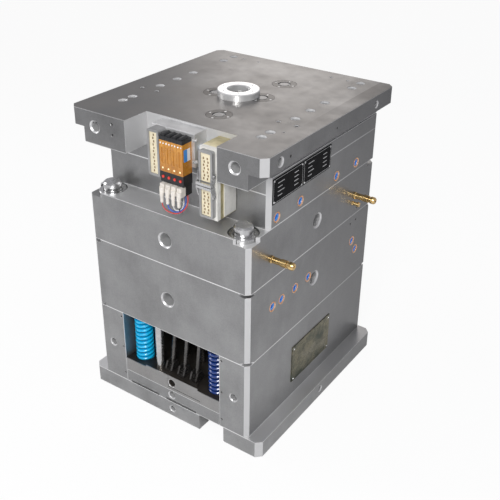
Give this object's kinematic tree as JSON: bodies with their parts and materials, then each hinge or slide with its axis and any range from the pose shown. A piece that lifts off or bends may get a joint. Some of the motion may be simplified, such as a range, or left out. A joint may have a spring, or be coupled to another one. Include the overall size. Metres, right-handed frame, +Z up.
{
  "type": "injection mould base",
  "caption": "Closed injection mould base of stacked steel plates with hot-runner block, locating ring, ejector plates with die springs, valve manifold, connectors and water nipples.",
  "frame": {"origin": "centre of the ejector rod hole at the underside of the moving clamp plate", "axes": "+Z up through the stack to the locating ring, +X towards the side with the water nipples, -Y towards the side with the connectors and valves"},
  "size_m": [0.604, 0.633, 0.862],
  "materials": {
    "ground_steel": "ground, fine linear grain",
    "polished_steel": "polished",
    "oiled_steel": "oiled, dark",
    "cyan_spring": "glossy paint",
    "navy_spring": "glossy paint",
    "patina_plate": "polished, stained",
    "blue_plug": "glossy",
    "brass_fitting": "turned",
    "zinc_screw": "bright zinc",
    "black_plate": "black anodised, bare",
    "yellow_zinc": "yellow chromate on sheet steel",
    "pale_paint": "satin off-white",
    "black_plastic": "satin",
    "grey_diecast": "cast, sand-blasted",
    "cream_plastic": "satin",
    "pale_aluminium": "milled, anodised",
    "blue_white_plastic": "glossy",
    "amber_plastic": "amber moulding",
    "red_plastic": "glossy",
    "wire_insulation": "flexible insulation in red, blue, white and black"
  },
  "bodies": {
    "moving_half": {"bottom_clamp_plate": "ground_steel", "base_screws": "zinc_screw", "spacer_block_left": "ground_steel", "spacer_block_right": "ground_steel", "core_plate": "ground_steel", "core_insert": "polished_steel", "leader_pins": "polished_steel", "ejector_guide_pins": "polished_steel", "support_pillars": "oiled_steel", "stop_buttons": "oiled_steel", "return_spring_front_left": "cyan_spring", "return_spring_front_right": "navy_spring", "return_spring_rear_left": "navy_spring", "return_spring_rear_right": "cyan_spring", "spacer_side_plate": "patina_plate", "core_port_plugs": "blue_plug"},
    "ejector_plates": {"ejector_base_plate": "ground_steel", "ejector_retainer_plate": "oiled_steel", "return_pins": "polished_steel", "ejector_pins": "polished_steel", "lifter_base_units": "oiled_steel"},
    "lifters": {"lifter_bars": "polished_steel"},
    "button_1": {"override_button_1": "red_plastic"},
    "button_2": {"override_button_2": "red_plastic"},
    "button_3": {"override_button_3": "red_plastic"},
    "button_4": {"override_button_4": "red_plastic"},
    "lever_lower": {"connector_lever_lower": "zinc_screw"},
    "lever_upper": {"connector_lever_upper": "zinc_screw"},
    "fixed_half": {"cavity_plate": "ground_steel", "cavity_insert": "polished_steel", "leader_bushings": "polished_steel", "water_nipples": "brass_fitting", "hot_runner_plate_lower": "ground_steel", "hot_runner_port_plugs": "blue_plug", "hot_runner_manifold": "oiled_steel", "hot_runner_nozzles": "oiled_steel", "hot_runner_plate_upper": "ground_steel", "sprue_bushing": "polished_steel", "top_clamp_plate": "ground_steel", "inlay_links": "ground_steel", "locating_ring": "polished_steel", "locating_ring_screws": "zinc_screw", "valve_gate_covers": "ground_steel", "valve_gate_cover_screws": "zinc_screw", "data_plates": "black_plate", "junction_box": "yellow_zinc", "junction_box_cover": "pale_paint", "junction_box_gland": "black_plastic", "box_connector_housings": "grey_diecast", "box_connector_inserts": "cream_plastic", "side_connector_housing": "grey_diecast", "side_connector_insert": "cream_plastic", "valve_manifold_block": "pale_aluminium", "manifold_port_fitting": "blue_white_plastic", "valve_bodies": "amber_plastic", "valve_caps": "black_plastic", "valve_pilot_band": "black_plastic", "valve_plugs": "cream_plastic", "wire_ferrules": "cream_plastic", "valve_wires": "wire_insulation"}
  },
  "joints": [
    {"name": "mould_opening", "type": "slide", "parent": "moving_half", "child": "fixed_half", "axis": [0, 0, 1], "range_m": [0, 0.24]},
    {"name": "ejector_stroke", "type": "slide", "parent": "moving_half", "child": "ejector_plates", "axis": [0, 0, 1], "range_m": [0, 0.06], "deforming": ["return_spring_front_left", "return_spring_front_right", "return_spring_rear_left", "return_spring_rear_right"]},
    {"name": "lifter_travel", "type": "slide", "parent": "moving_half", "child": "lifters", "axis": [0, 0.1392, 0.9903], "range_m": [0, 0.0606]},
    {"name": "override_1", "type": "slide", "parent": "fixed_half", "child": "button_1", "axis": [0, 1, 0], "range_m": [0, 0.0015], "stiffness_N_per_m": 300},
    {"name": "override_2", "type": "slide", "parent": "fixed_half", "child": "button_2", "axis": [0, 1, 0], "range_m": [0, 0.0015], "stiffness_N_per_m": 300},
    {"name": "override_3", "type": "slide", "parent": "fixed_half", "child": "button_3", "axis": [0, 1, 0], "range_m": [0, 0.0015], "stiffness_N_per_m": 300},
    {"name": "override_4", "type": "slide", "parent": "fixed_half", "child": "button_4", "axis": [0, 1, 0], "range_m": [0, 0.0015], "stiffness_N_per_m": 300},
    {"name": "lever_lower_swing", "type": "hinge", "parent": "fixed_half", "child": "lever_lower", "pos_m": [0.132, -0.309, 0.72], "axis": [1, 0, 0], "range_deg": [0, 100]},
    {"name": "lever_upper_swing", "type": "hinge", "parent": "fixed_half", "child": "lever_upper", "pos_m": [0.132, -0.309, 0.77], "axis": [-1, 0, 0], "range_deg": [0, 100]}
  ],
  "couplings": [
    {"joint": "ejector_stroke", "follows": "mould_opening", "ratio": 0.25},
    {"joint": "lifter_travel", "follows": "mould_opening", "ratio": 0.25246}
  ]
}
